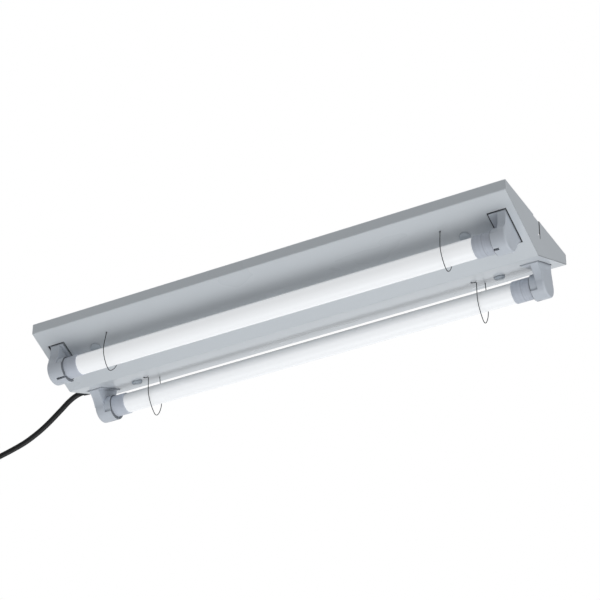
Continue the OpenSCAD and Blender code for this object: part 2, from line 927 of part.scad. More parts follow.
// Guard wire: s and n in the slope's frame, with x = 0 in the plane of the loop
function wire_point(x, s, n) = [x, s, -n];
function wire_path() =
    let (
        back = -sheet_t - wire_r - wire_back,
        high = wire_lift + 3 * wire_bend,
        hook = rounded(
            [
                wire_point(-wire_jog, wire_s_in - wire_tail, back),
                wire_point(-wire_jog, wire_s_in, back),
                wire_point(-wire_jog, wire_s_in, wire_lift),
                wire_point(0, wire_s_in, wire_lift),
                wire_point(0, wire_s_in - wire_bend / 2, high)
            ],
            [0, 0.8 * wire_bend, 0.8 * wire_bend, wire_bend, 0],
            3
        ),
        loop = smooth(
            [
                wire_point(0, wire_s_in - wire_bend / 2, high),
                wire_point(0, lamp_s - tube_r - wire_r - wire_in_gap, lamp_standoff + wire_in_rise),
                wire_point(0, lamp_s - wire_low_in, wire_drop),
                wire_point(0, lamp_s + wire_low_out, wire_drop),
                wire_point(0, lamp_s + tube_r + wire_r + wire_out_gap, lamp_standoff + wire_out_rise),
                wire_point(0, wire_s_out, wire_bend)
            ],
            wire_steps
        ),
        tail = rounded(
            [
                wire_point(0, wire_s_out, wire_bend),
                wire_point(0, wire_s_out, back),
                wire_point(0, wire_s_out + wire_tail, back)
            ],
            [0, 0.8 * wire_bend, 0],
            3
        )
    )
    concat(
        [for (i = [0:len(hook) - 2]) hook[i]],
        loop,
        [for (i = [1:len(tail) - 1]) tail[i]]
    );

// A wire swings about the line through its two holes
module guard_wire(row, side) {
    color("dimgray")
        slope_frame(row)
            translate([local_side(row, side) * wire_x - wire_jog, wire_s_in, sheet_t / 2])
                rotate(row == 1 ? front_swing : rear_swing, [wire_jog, wire_s_out - wire_s_in, 0])
                    translate([wire_jog, -wire_s_in, -sheet_t / 2])
                        tube_along(wire_path(), wire_r, wire_sides, [0, 0.6, 0.8]);
}

// Knob: a dome outside, a stud through reflector and saddle, and two wings behind
module knob(row, side) {
    wing_z = sheet_t + frame_t + set_gap;
    r = knob_d / 2;
    color("gainsboro")
        slope_frame(row)
            translate([local_side(row, side) * knob_x, knob_s, 0]) {
                rotate([180, 0, 0])
                    rotate_extrude($fn = round_fn)
                        polygon(concat(
                            [[0, set_gap], [r, set_gap]],
                            [for (k = [0:arc_steps]) let (a = 90 * k / arc_steps)
                                [
                                    knob_flat_r + (r - knob_flat_r) * cos(a),
                                    knob_skirt + (knob_h - knob_skirt) * sin(a)
                                ]],
                            [[0, knob_h]]
                        ));
                translate([0, 0, -set_gap - over / 2])
                    cylinder(h = set_gap + over / 2 + wing_z + wing_t + stud_tip, d = stud_d, $fn = small_fn);
                translate([-wing_w / 2, -wing_len / 2, wing_z]) cube([wing_w, wing_len, wing_t]);
            }
}

// Wiring
module terminal_block() {
    step = block_l / block_pole_count;
    color("ivory")
        translate([block_x, block_y, -frame_t - block_h])
            difference() {
                translate([-block_l / 2, -block_w / 2, 0]) cube([block_l, block_w, block_h]);
                for (i = [0:block_pole_count - 1], end = [-1, 1]) {
                    translate([-block_l / 2 + (i + 0.5) * step, end * block_w / 4, -over])
                        cylinder(h = pole_depth + over, d = pole_d, $fn = small_fn);
                }
            }
    // Two moulded pegs hold the block in the channel
    color("ivory")
        for (end = [-1, 1]) {
            translate([block_x + end * block_l / 4, block_y, -frame_t - over])
                cylinder(h = frame_t + over - turn_gap, d = clamp_screw_d - 2 * turn_gap, $fn = small_fn);
        }
}

module slotted_screw(d, h) {
    difference() {
        cylinder(h = h, d = d, $fn = small_fn);
        translate([-d, -screw_slot_w / 2, -over]) cube([2 * d, screw_slot_w, screw_slot_w + over]);
    }
}

module terminal_screws() {
    step = block_l / block_pole_count;
    color("silver")
        for (i = [0:block_pole_count - 1], end = [-1, 1]) {
            translate([
                block_x - block_l / 2 + (i + 0.5) * step,
                block_y + end * block_w / 4,
                -frame_t - block_h + pole_depth / 2
            ])
                slotted_screw(pole_d - 2 * turn_gap, pole_depth / 2);
        }
}

module earth_screw() {
    color("silver")
        translate([earth_x, earth_y, -frame_t - clamp_screw_head_h]) {
            slotted_screw(clamp_screw_head_d, clamp_screw_head_h);
            cylinder(h = clamp_screw_head_h + frame_t, d = clamp_screw_d, $fn = small_fn);
        }
}

// Where a holder's lead ends, just over the contacts in the holder's open back
function holder_back(row, side) =
    let (
        up = base_z + base_t + lead_foot - lamp_standoff,
        y = lamp_s * cos(slope_a) - up * sin(slope_a),
        z = -body_depth + lamp_s * sin(slope_a) + up * cos(slope_a)
    )
    [side * (holder_x + rotor_recess + chamber_len - lead_back_room), row == 1 ? -y : y, z];

function lead_path(start, lane, high, foot) = rounded(
    [start, [start[0], lane, -high], [foot[0], lane, -high], [foot[0], foot[1], foot[2]]],
    [0, lead_bend, lead_bend, 0],
    3
);

module holder_leads() {
    front = block_y - block_w / 2;
    rear = block_y + block_w / 2;
    lead_r = lead_d / 2;
    color("white") {
        tube_along(
            lead_path([block_x - block_l / 4, front, -lead_low], -lead_lane, lead_low, holder_back(1, -1)),
            lead_r, coil_sides, [0, 0.1, 1]
        );
        tube_along(
            lead_path([block_x + block_l / 4, front, -lead_low], -lead_lane, lead_low, holder_back(1, 1)),
            lead_r, coil_sides, [0, 0.1, 1]
        );
        tube_along(
            lead_path([block_x - block_l / 4, rear, -lead_high], lead_lane + lead_d, lead_high, holder_back(2, -1)),
            lead_r, coil_sides, [0, 0.1, 1]
        );
        tube_along(
            lead_path([block_x + block_l / 4, rear, -lead_high], lead_lane + lead_d, lead_high, holder_back(2, 1)),
            lead_r, coil_sides, [0, 0.1, 1]
        );
    }
}

module cord_bush() {
    bore = cord_d / 2 + bush_bore_gap;
    face = bush_flange_t;
    color("black")
        translate([-body_len / 2, bush_y, -bush_z])
            mirror([1, 0, 0])
                turned([
                    [bore, -sheet_t - bush_catch_l], [bush_neck_d / 2, -sheet_t - bush_catch_l],
                    [bush_catch_d / 2, -sheet_t - set_gap - bush_catch_l / 3],
                    [bush_catch_d / 2, -sheet_t - set_gap], [bush_neck_d / 2, -sheet_t - set_gap],
                    [bush_neck_d / 2, 0], [bush_flange_d / 2, 0], [bush_flange_d / 2, face],
                    [bush_neck_d / 2 + bush_tip_wall, face],
                    [bore + bush_tip_wall, face + bush_tail], [bore, face + bush_tail]
                ]);
}

function inner_path() = rounded(
    [
        cord_route[0],
        [-lead_in_x, bush_y, -bush_z],
        [-lead_turn_x, lead_turn_y, -lead_turn_z],
        [block_x - block_l / 2, lead_turn_y, -lead_turn_z]
    ],
    [0, lead_turn_r, lead_turn_r, 0],
    arc_steps
);

module inner_lead() {
    color("black") tube_along(inner_path(), cord_d / 2, cord_sides, [0, 0.1, 1]);
}

// The clamp is a strap under the cord with two feet on the chassis
module cord_clamp() {
    r = cord_d / 2 + turn_gap;
    top = -frame_t;
    low = -lead_turn_z - r - clamp_t;
    color("silver")
        translate([clamp_x, lead_turn_y, 0])
            difference() {
                union() {
                    block([-clamp_w / 2, -r - clamp_t, low], [clamp_w / 2, r + clamp_t, top]);
                    block(
                        [-clamp_w / 2, 0, top - clamp_t],
                        [clamp_w / 2, clamp_foot + clamp_screw_head_d / 2, top]
                    );
                }
                block([-clamp_w, -r, -lead_turn_z], [clamp_w, r, over]);
                translate([0, 0, -lead_turn_z]) bar(-clamp_w, 2 * clamp_w, 2 * r, small_fn);
                translate([0, clamp_foot, top - clamp_t - over])
                    cylinder(h = clamp_t + 2 * over, d = clamp_screw_d, $fn = small_fn);
            }
}

module clamp_screw() {
    color("silver")
        translate([clamp_x, lead_turn_y + clamp_foot, -frame_t - clamp_t - clamp_screw_head_h]) {
            slotted_screw(clamp_screw_head_d, clamp_screw_head_h);
            cylinder(h = clamp_screw_head_h + clamp_t + frame_t, d = clamp_screw_d, $fn = small_fn);
        }
}

module mains_cord() {
    color("black") tube_along(smooth(cord_route, cord_steps), cord_d / 2, cord_sides, [0, 1, 0]);
}

// The coil lies across the light: it winds in, climbs a layer at the middle and winds out again
coil_center = coil_start - [0, coil_r, 0];
function coil_radius(t) =
    coil_r - coil_pitch * min(t, coil_turns - t);
function coil_depth(t) =
    coil_layer * min(1, max(0, (t - coil_turns / 2 + coil_climb_turns / 2) / coil_climb_turns));
function coil_point(t) =
    coil_center + [-coil_depth(t), coil_radius(t) * cos(360 * t), -coil_radius(t) * sin(360 * t)];
coil_loop = [for (i = [0:coil_turns * coil_rings]) coil_point(i / coil_rings)];
coil_last = coil_loop[len(coil_loop) - 1];
coil_path = concat(
    [coil_start + [0, 0, coil_end]], coil_loop,
    [coil_last - [0, 0, coil_end], coil_last - [0, 0, coil_tail]]
);

// The least gap between turns of the coil, and the lengths of cord
coil_gap = min([
    for (i = [0:len(coil_loop) - 1])
        for (k = [i + coil_rings / 2:1:len(coil_loop) - 1])
            norm(coil_loop[i] - coil_loop[k]) - cord_d
]);
function path_len(p) = total([for (i = [1:len(p) - 1]) norm(p[i] - p[i - 1])]);
echo(coil_gap = coil_gap, free_len = path_len(smooth(cord_route, cord_steps)), coil_len = path_len(coil_path));

module cord_coil() {
    color("black") tube_along(coil_path, cord_d / 2, coil_sides, [1, 0, 0]);
}

// The tie goes round all the turns at the top of the coil
module coil_tie() {
    edge_r = cord_d / 2 + tie_gap;
    z_out = coil_radius(coil_turns - 0.25) + edge_r;
    z_in = coil_radius(coil_turns / 2 + 0.25) - edge_r;
    x_in = edge_r;
    x_out = -coil_layer - edge_r;
    color("dimgray")
        translate(coil_center)
            difference() {
                union() {
                    block([x_out - tie_t, -tie_w / 2, z_in - tie_t], [x_in + tie_t, tie_w / 2, z_out + tie_t]);
                    block(
                        [x_out / 2 - tie_buckle, -tie_w / 2 - tie_t, z_out + tie_t / 2],
                        [x_out / 2 + tie_buckle, tie_w / 2 + tie_t, z_out + tie_t + tie_buckle]
                    );
                }
                block([x_out, -tie_w, z_in], [x_in, tie_w, z_out]);
            }
}

// Plug, hanging from the coil's end: its own frame has z down, away from the cord
module plug_frame() {
    translate(coil_last - [0, 0, coil_tail]) rotate([180, 0, 0]) children();
}

module plug_side_outline() {
    half = plug_w / 2;
    top = plug_collar_l;
    polygon(concat(
        [[-plug_back_w / 2, top - over], [plug_back_w / 2, top - over]],
        [[half, top + plug_shoulder]],
        rounded(
            [[half, top + plug_shoulder], [half, top + plug_len], [-half, top + plug_len],
                [-half, top + plug_shoulder]],
            [0, plug_round, plug_round, 0],
            arc_steps
        )
    ));
}

module plug_body() {
    color("black")
        plug_frame() {
            rotate_extrude($fn = round_fn)
                polygon([
                    [0, 0], [plug_tip_d / 2, 0], [plug_collar_d / 2, plug_collar_l],
                    [0, plug_collar_l]
                ]);
            translate([-plug_t / 2, 0, 0])
                rotate([90, 0, 90])
                    linear_extrude(height = plug_t)
                        plug_side_outline();
        }
}

module plug_blades() {
    face = plug_collar_l + plug_len;
    color("silver")
        plug_frame()
            for (end = [-1, 1]) {
                translate([-blade_w / 2, end * blade_pitch / 2 - blade_t / 2, face])
                    rotate([90, 0, 0])
                        mirror([0, 0, 1])
                            linear_extrude(height = blade_t)
                                polygon([
                                    [0, 0], [blade_w, 0], [blade_w, blade_len - blade_round],
                                    [blade_w - blade_round, blade_len], [blade_round, blade_len],
                                    [0, blade_len - blade_round]
                                ]);
            }
}

reflector();
end_plate(-1);  // end_plate_left
end_plate(1);  // end_plate_right
chassis();
saddle(-1);  // saddle_left
saddle(1);  // saddle_right
saddle_rivets();
holder(1, -1);  // holder_1_left
holder(1, 1);  // holder_1_right
holder(2, -1);  // holder_2_left
holder(2, 1);  // holder_2_right
rotor(1, -1);  // rotor_1_left
rotor(1, 1);  // rotor_1_right
rotor(2, -1);  // rotor_2_left
rotor(2, 1);  // rotor_2_right
contacts(1, -1);  // contacts_1_left
contacts(1, 1);  // contacts_1_right
contacts(2, -1);  // contacts_2_left
contacts(2, 1);  // contacts_2_right
holder_screws();
lamp_tube(1);  // lamp_1_tube
lamp_cap(1, -1);  // lamp_1_cap_left
lamp_cap(1, 1);  // lamp_1_cap_right
lamp_pins(1);  // lamp_1_pins
led_board(1);  // lamp_1_led_board
led_chips(1);  // lamp_1_led_chips
driver(1);  // lamp_1_driver
lamp_tube(2);  // lamp_2_tube
lamp_cap(2, -1);  // lamp_2_cap_left
lamp_cap(2, 1);  // lamp_2_cap_right
lamp_pins(2);  // lamp_2_pins
led_board(2);  // lamp_2_led_board
led_chips(2);  // lamp_2_led_chips
driver(2);  // lamp_2_driver
guard_wire(1, -1);  // guard_wire_1_left
guard_wire(1, 1);  // guard_wire_1_right
guard_wire(2, -1);  // guard_wire_2_left
guard_wire(2, 1);  // guard_wire_2_right
knob(1, -1);  // knob_1_left
knob(1, 1);  // knob_1_right
knob(2, -1);  // knob_2_left
knob(2, 1);  // knob_2_right
terminal_block();
terminal_screws();
earth_screw();
holder_leads();
cord_bush();
inner_lead();
cord_clamp();
clamp_screw();
mains_cord();
cord_coil();
coil_tie();
plug_body();
plug_blades();
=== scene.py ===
import bmesh
import bpy
import math
from mathutils import Matrix, Vector


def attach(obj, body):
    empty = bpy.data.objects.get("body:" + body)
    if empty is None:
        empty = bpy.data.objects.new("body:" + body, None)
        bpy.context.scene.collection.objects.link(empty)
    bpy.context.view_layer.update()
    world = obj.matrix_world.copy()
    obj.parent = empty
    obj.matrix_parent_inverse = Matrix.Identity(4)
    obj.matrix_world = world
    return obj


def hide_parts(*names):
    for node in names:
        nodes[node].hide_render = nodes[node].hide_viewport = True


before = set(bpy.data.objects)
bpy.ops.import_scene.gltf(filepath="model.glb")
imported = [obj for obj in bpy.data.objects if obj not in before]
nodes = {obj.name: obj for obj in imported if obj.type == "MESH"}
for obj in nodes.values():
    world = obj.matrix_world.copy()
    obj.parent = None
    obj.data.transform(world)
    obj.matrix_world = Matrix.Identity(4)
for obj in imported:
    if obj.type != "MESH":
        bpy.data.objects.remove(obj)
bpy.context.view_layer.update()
scene = bpy.context.scene
MM = 0.001


# Camera, fitted to the edges of the photograph: angles in degrees, place in metres
TURN, TILT, ROLL = (math.radians(a) for a in (29.08, 32.71, 0.22))
CAMERA_AT = (1.05104, -1.87084, -1.39197)
FOCAL_PX, IMAGE_PX, SENSOR = 2114.8, 600, 36
CLIP_NEAR, CLIP_FAR = 0.05, 20


def make_camera():
    look = Vector((-math.sin(TURN) * math.cos(TILT), math.cos(TURN) * math.cos(TILT), math.sin(TILT)))
    right = Vector((math.cos(TURN), math.sin(TURN), 0))
    up = right.cross(look)
    x = math.cos(ROLL) * right + math.sin(ROLL) * up
    y = -math.sin(ROLL) * right + math.cos(ROLL) * up
    data = bpy.data.cameras.new("camera")
    data.sensor_width = SENSOR
    data.lens = FOCAL_PX / IMAGE_PX * SENSOR
    data.clip_start = CLIP_NEAR
    data.clip_end = CLIP_FAR
    cam = bpy.data.objects.new("camera", data)
    scene.collection.objects.link(cam)
    cam.matrix_world = Matrix.Translation(CAMERA_AT) @ Matrix((x, y, -look)).transposed().to_4x4()
    scene.camera = cam


make_camera()


# Paths, worked out as in the model: points in millimetres
def corner(a, p, b, r, n):
    """A curve that rounds the corner at p, in n steps."""
    u, v = (a - p).normalized(), (b - p).normalized()
    half = math.acos(max(-1, min(1, -u.dot(v)))) / 2
    d = r * math.tan(half)
    return [p + d * ((1 - i / n) ** 2 * u + (i / n) ** 2 * v) for i in range(n + 1)]


def rounded(pts, radii, n):
    """A line through the points, with each corner rounded by its radius."""
    pts = [Vector(p) for p in pts]
    out = [pts[0]]
    for i in range(1, len(pts) - 1):
        if radii[i] == 0:
            out.append(pts[i])
        else:
            out += corner(pts[i - 1], pts[i], pts[i + 1], radii[i], n)
    return out + [pts[-1]]


def smooth(pts, n):
    """A smooth line through the points, in n steps for each pair."""
    p = [Vector(q) for q in pts]
    p = [2 * p[0] - p[1]] + p + [2 * p[-1] - p[-2]]
    out = []
    for i in range(1, len(p) - 2):
        a, b, c, d = p[i - 1 : i + 3]
        for k in range(n):
            t = k / n
            out.append(
                (2 * b + (c - a) * t + (2 * a - 5 * b + 4 * c - d) * t**2 + (3 * b - a - 3 * c + d) * t**3) / 2
            )
    return out + [p[-2]]


def curve_tube(name, paths, radius, body, mat, sides=4):
    """A round wire or cord along each path, as one curve object."""
    data = bpy.data.curves.new(name, "CURVE")
    data.dimensions = "3D"
    data.bevel_depth = radius * MM
    data.bevel_resolution = sides
    data.use_fill_caps = True
    for path in paths:
        s = data.splines.new("POLY")
        s.points.add(len(path) - 1)
        for q, v in zip(s.points, path):
            q.co = (v[0] * MM, v[1] * MM, v[2] * MM, 1)
        s.use_smooth = True
    o = bpy.data.objects.new(name, data)
    scene.collection.objects.link(o)
    data.materials.append(mat)
    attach(o, body)
    return o


def mesh_piece(name, bm, body, mats, smooth_angle=35):
    """An object from a bmesh, smooth except at edges sharper than the angle."""
    data = bpy.data.meshes.new(name)
    bmesh.ops.recalc_face_normals(bm, faces=bm.faces)
    bm.to_mesh(data)
    bm.free()
    o = bpy.data.objects.new(name, data)
    scene.collection.objects.link(o)
    for m in mats:
        data.materials.append(m)
    for f in data.polygons:
        f.use_smooth = True
    data.set_sharp_from_angle(angle=math.radians(smooth_angle))
    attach(o, body)
    return o


# Sizes of the light, as in the model: the reflector's depth, half width and flange, and the lamps' height over it
DEPTH, HALF_WIDTH, FLANGE, STANDOFF = 53, 87, 14.5, 24.5
SLOPE = math.atan((DEPTH - FLANGE) / HALF_WIDTH)
LAMP_S = HALF_WIDTH / math.cos(SLOPE) / 2
LAMP_Y = (LAMP_S * math.cos(SLOPE) + STANDOFF * math.sin(SLOPE)) * MM
LAMP_Z = (-DEPTH + LAMP_S * math.sin(SLOPE) - STANDOFF * math.cos(SLOPE)) * MM
KNOCKOUT_HALF, KNOCKOUT_DEEP = 9.25 * MM, 24.5 * MM

# Guard wires: their place along the light, their two holes up the slope, the hook's jog and the ends over the sheet
WIRE_X = 226.5
S_IN, S_OUT, JOG, BACK = LAMP_S - 9.57, LAMP_S + 19.4, 6.5, -1.9


def slope_point(row, x, s, z):
    """A point of the light, from its place along a row, its distance up the slope and its height over it."""
    y = s * math.cos(SLOPE) - z * math.sin(SLOPE)
    up = -DEPTH + s * math.sin(SLOPE) + z * math.cos(SLOPE)
    return Vector((-x, -y, up)) if row == 1 else Vector((x, y, up))


# Where the holders' collars meet the lamp caps along the light, with half the width of the painted shade line there,
# and how far from the sheet the collars begin
COLLARS = [(-285.0, 0.4), (290.2, 0.8)]
COLLAR_TOP = 9 * MM

# The reflector's unlit face: half its thickness, the sheet's edge at the top, and the flange's inner face
SHEET_HALF, TOP_EDGE, FLANGE_Y = 0.4 * MM, 1 * MM, 86.7 * MM

# The knock-out's slit: its middle inside the knock-out's edge, and how far its painted shade reaches; the wire
# holes' painted shade
SLIT_MIDDLE, SLIT_SHADE_REACH, HOLE_SHADE_REACH = 0.5 * MM, 0.9 * MM, 1.3 * MM

# The tube's glow on the sheet's side and the far side, and the distances from the lamp's axis where they hold
GLOW_NEAR, GLOW_FAR, GLOW_FROM, GLOW_TO = 0.06, 0.48, -12.1 * MM, 0.8 * MM


# Materials
def linear(c):
    """A colour in linear light, from its screen values."""
    return tuple((v / 12.92 if v <= 0.04045 else ((v + 0.055) / 1.055) ** 2.4) for v in c)


class Nodes:
    """A small helper to build one material's node tree."""

    def __init__(self, name):
        self.mat = bpy.data.materials.new(name)
        self.mat.use_nodes = True
        self.tree = self.mat.node_tree
        self.shader = self.tree.nodes["Principled BSDF"]
        self.coord = self.add("ShaderNodeTexCoord")

    def add(self, kind, **values):
        n = self.tree.nodes.new(kind)
        for k, v in values.items():
            setattr(n, k, v)
        return n

    def link(self, a, b):
        self.tree.links.new(a, b)

    def scaled(self, scale):
        m = self.add("ShaderNodeMapping")
        m.inputs["Scale"].default_value = scale
        self.link(self.coord.outputs["Object"], m.inputs["Vector"])
        return m.outputs["Vector"]

    def noise(self, scale, detail=3, vector=None):
        n = self.add("ShaderNodeTexNoise")
        n.inputs["Scale"].default_value = scale
        n.inputs["Detail"].default_value = detail
        self.link(vector or self.coord.outputs["Object"], n.inputs["Vector"])
        return n.outputs["Fac"]

    def ramp(self, value, stops):
        r = self.add("ShaderNodeValToRGB")
        r.color_ramp.elements[0].position = stops[0][0]
        r.color_ramp.elements[0].color = (*stops[0][1], 1)
        r.color_ramp.elements[1].position = stops[1][0]
        r.color_ramp.elements[1].color = (*stops[1][1], 1)
        for at, c in stops[2:]:
            e = r.color_ramp.elements.new(at)
            e.color = (*c, 1)
        self.link(value, r.inputs["Fac"])
        return r.outputs["Color"]

    def range(self, value, low, high, a=0.3, b=0.7):
        m = self.add("ShaderNodeMapRange")
        m.inputs["From Min"].default_value = a
        m.inputs["From Max"].default_value = b
        m.inputs["To Min"].default_value = low
        m.inputs["To Max"].default_value = high
        self.link(value, m.inputs["Value"])
        return m.outputs["Result"]

    def mix(self, factor, a, b):
        m = self.add("ShaderNodeMix", data_type="RGBA")
        for v, key in ((factor, "Factor"), (a, 6), (b, 7)):
            s = m.inputs[key]
            if isinstance(v, (int, float)):
                s.default_value = v
            elif isinstance(v, tuple):
                s.default_value = (*v, 1)
            else:
                self.link(v, s)
        return m.outputs[2]

    def math(self, kind, a, b=0.0):
        m = self.add("ShaderNodeMath", operation=kind)
        for v, i in ((a, 0), (b, 1)):
            if isinstance(v, (int, float)):
                m.inputs[i].default_value = v
            else:
                self.link(v, m.inputs[i])
        return m.outputs[0]

    def bump(self, height, strength, distance, edge=0.0):
        b = self.add("ShaderNodeBump")
        b.inputs["Strength"].default_value = strength
        b.inputs["Distance"].default_value = distance
        self.link(height, b.inputs["Height"])
        if edge:
            e = self.add("ShaderNodeBevel", samples=4)
            e.inputs["Radius"].default_value = edge
            self.link(e.outputs["Normal"], b.inputs["Normal"])
        return b.outputs["Normal"]

    def set(self, **values):
        for k, v in values.items():
            s = self.shader.inputs[k.replace("_", " ")]
            if isinstance(v, (int, float)):
                s.default_value = v
            elif isinstance(v, tuple):
                s.default_value = (*v, 1)
            else:
                self.link(v, s)
        return self.mat


def shade(c, k):
    return tuple(min(1.0, v * k) for v in c)


# Painted shade in corners and along joints, and how near a surface has to be for it in joints and in wide corners
SHADE_GREY, JOINT_SHADE_GREY = linear((0.22, 0.23, 0.25)), linear((0.25, 0.26, 0.28))
JOINT_SHADE_REACH, CORNER_SHADE_REACH = 1.8 * MM, 14 * MM


def occlusion_shade(n, colour, reach, depth):
    """Painted shade in joints and slots: grey where ambient occlusion finds surfaces near."""
    ao = n.add("ShaderNodeAmbientOcclusion", samples=8)
    ao.inputs["Distance"].default_value = reach
    near = n.range(ao.outputs["AO"], depth, 0.0, 0.15, 0.6)
    return n.mix(near, colour, SHADE_GREY)


def above_slope(n):
    """Height over the lit face of the nearest slope, towards the ceiling, and the split coordinates."""
    parts = n.add("ShaderNodeSeparateXYZ")
    n.link(n.coord.outputs["Object"], parts.inputs[0])
    lift = n.math("MULTIPLY", n.math("ADD", parts.outputs["Z"], DEPTH * MM), math.cos(SLOPE))
    fall = n.math("MULTIPLY", n.math("ABSOLUTE", parts.outputs["Y"]), math.sin(SLOPE))
    return n.math("SUBTRACT", lift, fall), parts


def joint_shade_lines(n, colour, places):
    """A narrow grey line of painted shade round a collar, at each distance from the middle of the light."""
    height, parts = above_slope(n)
    collar = n.math("LESS_THAN", height, -COLLAR_TOP)
    for at, half in places:
        off = n.math("ABSOLUTE", n.math("SUBTRACT", parts.outputs["X"], at * MM))
        line = n.math("MULTIPLY", n.range(off, 0.75, 0.0, half * MM * 0.6, half * MM), collar)
        colour = n.mix(line, colour, JOINT_SHADE_GREY)
    return colour


def plain(
    name, srgb, rough, spread, scale, grain, depth, strength, edge=0.0,
    metal=0.0, joint_shade=0.0, corner_shade=0.0, lines=(),
):
    """Slight colour drift, a fine surface grain and uneven gloss, and where asked painted shade in joints, wide
    corners and round collars.
    """
    n = Nodes(name)
    c = linear(srgb)
    drift = n.noise(scale, 4)
    colour = n.ramp(drift, [(0.3, shade(c, 1 - spread)), (0.7, shade(c, 1 + spread))])
    # Painted shade: the colour darkens near other surfaces, in wide corners, in joints and in lines round the
    # collars
    if corner_shade:
        colour = occlusion_shade(n, colour, CORNER_SHADE_REACH, corner_shade)
    if joint_shade:
        colour = occlusion_shade(n, colour, JOINT_SHADE_REACH, joint_shade)
    if lines:
        colour = joint_shade_lines(n, colour, lines)
    gloss = n.range(n.noise(scale * 0.7, 3), rough * 0.85, rough * 1.2)
    normal = n.bump(n.noise(grain, 2), strength, depth, edge)
    return n.set(Base_Color=colour, Roughness=gloss, Normal=normal, Metallic=metal)


def inside(n):
    """1 on the ceiling side of the reflector's slopes, 0 on their lit face."""
    height, parts = above_slope(n)
    sloped = n.math("GREATER_THAN", height, SHEET_HALF)
    low = n.math("LESS_THAN", parts.outputs["Z"], -TOP_EDGE)
    within = n.math("LESS_THAN", n.math("ABSOLUTE", parts.outputs["Y"]), FLANGE_Y)
    return n.math("MULTIPLY", n.math("MULTIPLY", sloped, low), within)


def knockout_edge(n):
    """1 on the cut edges of the knock-out slit in the end plates, and a hair to each side, where dark paint stands
    for the slit's shade.
    """
    parts = n.add("ShaderNodeSeparateXYZ")
    n.link(n.coord.outputs["Object"], parts.inputs[0])
    facing = n.add("ShaderNodeSeparateXYZ")
    n.link(n.add("ShaderNodeNewGeometry").outputs["True Normal"], facing.inputs[0])
    cut = n.math("LESS_THAN", n.math("ABSOLUTE", facing.outputs["X"]), 0.6)
    aside = n.math("ABSOLUTE", n.math("SUBTRACT", parts.outputs["Y"], KNOCKOUT_HALF - SLIT_MIDDLE))
    cut = n.math("MAXIMUM", cut, n.math("LESS_THAN", aside, SLIT_SHADE_REACH))
    near = n.math("LESS_THAN", n.math("ABSOLUTE", parts.outputs["Y"]), KNOCKOUT_HALF + SLIT_MIDDLE)
    low = n.math("GREATER_THAN", parts.outputs["Z"], -KNOCKOUT_DEEP)
    return n.math("MULTIPLY", n.math("MULTIPLY", cut, near), low)


def wire_holes(n):
    """1 round the holes for the guard wires, where dark paint stands for the shade in the holes."""
    found = 0.0
    for row in (1, 2):
        for x in (-WIRE_X, WIRE_X):
            for s in (S_IN, S_OUT):
                near = n.add("ShaderNodeVectorMath", operation="DISTANCE")
                n.link(n.coord.outputs["Object"], near.inputs[0])
                near.inputs[1].default_value = slope_point(row, x, s, 0) * MM
                found = n.math("MAXIMUM", found, n.math("LESS_THAN", near.outputs["Value"], HOLE_SHADE_REACH))
    return found


def enamel(name, srgb, rough, edge, back_shade=None, slit_shade=None, hole_shade=None):
    """Baked white enamel on sheet: orange peel, a trace of dust and uneven gloss; where asked, painted shade on the
    back of the slopes, at the knock-out slit and round the wire holes.
    """
    n = Nodes(name)
    c = linear(srgb)
    long = n.scaled((0.35, 1, 1))
    drift = n.noise(9, 4, long)
    colour = n.ramp(drift, [(0.3, shade(c, 0.985)), (0.7, shade(c, 1.012))])
    dust = n.noise(420, 3)
    specks = n.range(dust, 0, 0.10, 0.66, 0.74)
    colour = n.mix(specks, colour, shade(c, 0.72))
    # Painted shade: a grey on the back of the slopes, seen through the gaps into the body
    if back_shade:
        colour = n.mix(inside(n), colour, linear(back_shade))
    # Painted shade: dark on the knock-out slit's cut edges and beside them
    if slit_shade:
        colour = n.mix(knockout_edge(n), colour, linear(slit_shade))
    # Painted shade: dark round the guard wires' holes
    if hole_shade:
        colour = n.mix(wire_holes(n), colour, linear(hole_shade))
    peel = n.noise(620, 2)
    wave = n.noise(38, 2, long)
    height = n.math("ADD", n.math("MULTIPLY", peel, 0.35), n.math("MULTIPLY", wave, 1.0))
    normal = n.bump(height, 0.22, 0.00006, edge)
    gloss = n.range(n.noise(14, 3, long), rough * 0.85, rough * 1.2)
    return n.set(Base_Color=colour, Roughness=gloss, Normal=normal, Coat_Weight=0.25, Coat_Roughness=0.12)


def galvanised(name):
    """Zinc-coated sheet: faint spangle, a few dull patches."""
    n = Nodes(name)
    cells = n.add("ShaderNodeTexVoronoi")
    cells.inputs["Scale"].default_value = 330
    n.link(n.coord.outputs["Object"], cells.inputs["Vector"])
    grey = n.add("ShaderNodeSeparateColor")
    n.link(cells.outputs["Color"], grey.inputs[0])
    c = linear((0.80, 0.815, 0.83))
    colour = n.ramp(grey.outputs[0], [(0.1, shade(c, 0.90)), (0.9, shade(c, 1.06))])
    colour = n.mix(n.range(n.noise(22, 4), 0, 0.3), colour, shade(c, 0.82))
    gloss = n.range(grey.outputs[1], 0.36, 0.48, 0.1, 0.9)
    normal = n.bump(n.noise(500, 3), 0.12, 0.00002, 0.0002)
    return n.set(Base_Color=colour, Roughness=gloss, Normal=normal, Metallic=0.55)


def scratched(name, srgb, rough=0.3, stretch=(40, 900, 900)):
    """Bright metal with fine drawing lines along X."""
    n = Nodes(name)
    c = linear(srgb)
    lines = n.noise(1.0, 3, n.scaled(stretch))
    colour = n.ramp(lines, [(0.3, shade(c, 0.85)), (0.7, shade(c, 1.1))])
    return n.set(
        Base_Color=colour, Roughness=n.range(lines, rough * 0.75, rough * 1.3),
        Normal=n.bump(lines, 0.2, 0.00001, 0.0001), Metallic=1.0,
    )


